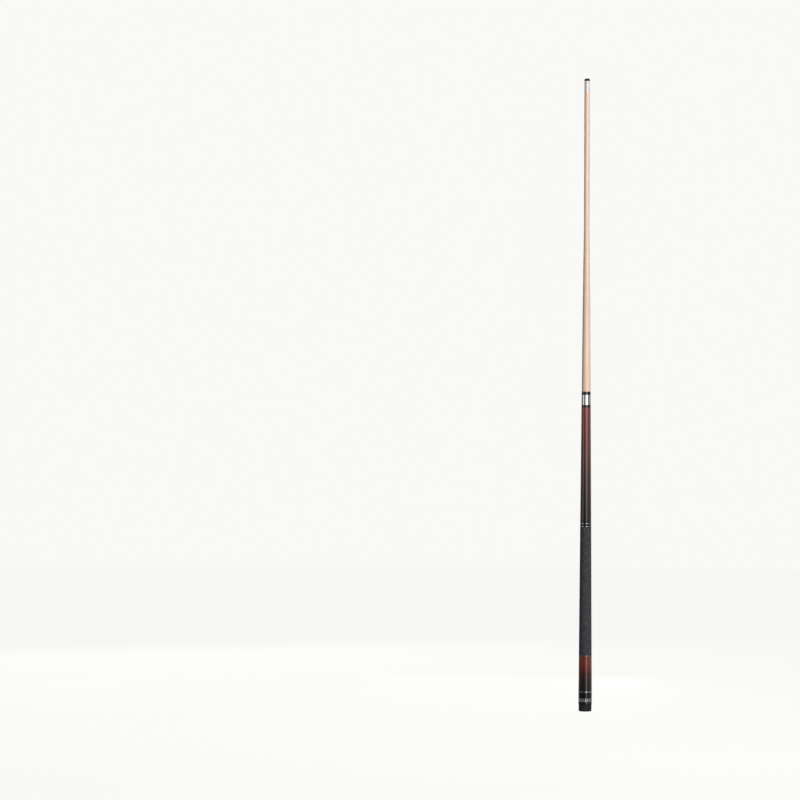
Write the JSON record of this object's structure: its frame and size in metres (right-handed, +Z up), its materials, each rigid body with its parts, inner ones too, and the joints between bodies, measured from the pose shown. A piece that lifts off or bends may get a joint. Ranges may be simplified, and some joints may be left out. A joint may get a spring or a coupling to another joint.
{
  "type": "pool cue",
  "caption": "Two-piece pool cue with maple shaft, steel joint, stained forearm, linen-wrapped handle and rubber bumper.",
  "frame": {"origin": "centre of the rubber bumper's foot", "axes": "+Z up along the cue's axis, from the butt towards the tip"},
  "size_m": [0.0312, 0.0312, 1.4732],
  "materials": {
    "tip_leather": "matt, burnished on the side",
    "tip_fibre": "matt",
    "ferrule": "satin",
    "maple": "sealed, satin",
    "brass": "machined",
    "black_phenolic": "polished",
    "cap_phenolic": "polished, with a plain silver band",
    "stainless": "polished",
    "silver": "turned",
    "steel": "zinc plated",
    "stained_forearm": "gloss lacquer, red-brown fading to black",
    "stained_sleeve": "gloss lacquer, red-brown fading to black",
    "core_wood": "plain",
    "linen": "pressed linen thread, charcoal with pale flecks",
    "rubber": "matt"
  },
  "bodies": {
    "butt": {"butt_cap": "cap_phenolic", "weight_bolt": "steel", "butt_ring": "silver", "butt_sleeve": "stained_sleeve", "sleeve_ring": "silver", "handle_core": "core_wood", "wrap": "linen", "handle_ring_black_lower": "black_phenolic", "handle_ring_silver_lower": "silver", "handle_ring_black_middle": "black_phenolic", "handle_ring_silver_upper": "silver", "handle_ring_black_upper": "black_phenolic", "handle_stud": "steel", "forearm": "stained_forearm", "forearm_ring": "black_phenolic", "joint_collar": "stainless", "joint_pin": "stainless"},
    "shaft_collar": {"shaft_collar": "black_phenolic"},
    "shaft": {"shaft": "maple", "shaft_insert": "brass", "ferrule": "ferrule", "tip_pad": "tip_fibre", "tip": "tip_leather"},
    "bumper": {"bumper": "rubber", "bumper_washer": "steel"},
    "bumper_screw": {"bumper_screw": "steel"}
  },
  "joints": [
    {"name": "shaft_travel", "type": "slide", "parent": "butt", "child": "shaft_collar", "axis": [0, 0, 1], "range_m": [0, 0.01905]},
    {"name": "shaft_turn", "type": "hinge", "parent": "shaft_collar", "child": "shaft", "pos_m": [0, 0, 0.7366], "axis": [0, 0, 1], "range_deg": [0, 3780]},
    {"name": "bumper_travel", "type": "slide", "parent": "butt", "child": "bumper", "axis": [0, 0, -1], "range_m": [0, 0.01429]},
    {"name": "bumper_screw_turn", "type": "hinge", "parent": "bumper", "child": "bumper_screw", "pos_m": [0, 0, 0], "axis": [0, 0, -1], "range_deg": [0, 4050]}
  ],
  "couplings": [
    {"joint": "shaft_turn", "follows": "shaft_travel", "rad_per_m": 3463.1},
    {"joint": "bumper_screw_turn", "follows": "bumper_travel", "rad_per_m": 4947.4}
  ]
}
